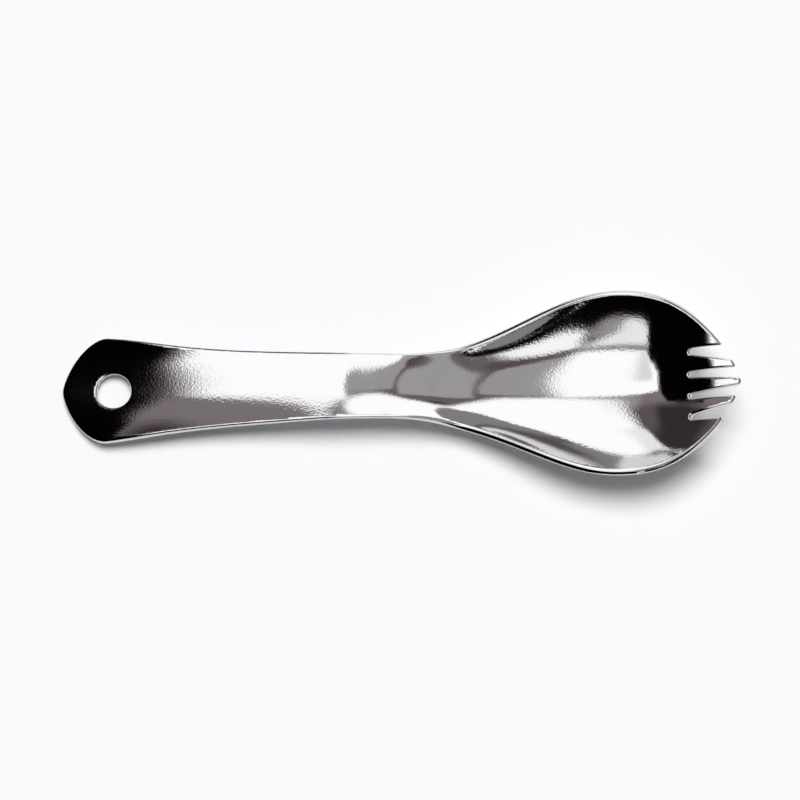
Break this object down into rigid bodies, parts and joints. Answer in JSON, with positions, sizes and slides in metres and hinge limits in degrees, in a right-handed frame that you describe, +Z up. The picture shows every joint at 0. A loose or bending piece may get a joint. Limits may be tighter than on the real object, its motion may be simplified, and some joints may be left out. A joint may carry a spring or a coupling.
{
  "type": "spork",
  "caption": "One-piece steel spork: a spoon bowl with short tines at its front, and a handle with a hanging hole.",
  "frame": {"origin": "centre of the spork's bounding box, on the plane that it rests on", "axes": "+X along the spork from the handle's end to the tines, +Y to the left across the bowl, +Z up, out of the bowl's open side"},
  "size_m": [0.1598, 0.0444, 0.0152],
  "materials": {
    "polished_steel": "bright polished stainless steel with a faint grain left by pressing"
  },
  "bodies": {
    "root": {"spork": "polished_steel"}
  },
  "joints": []
}
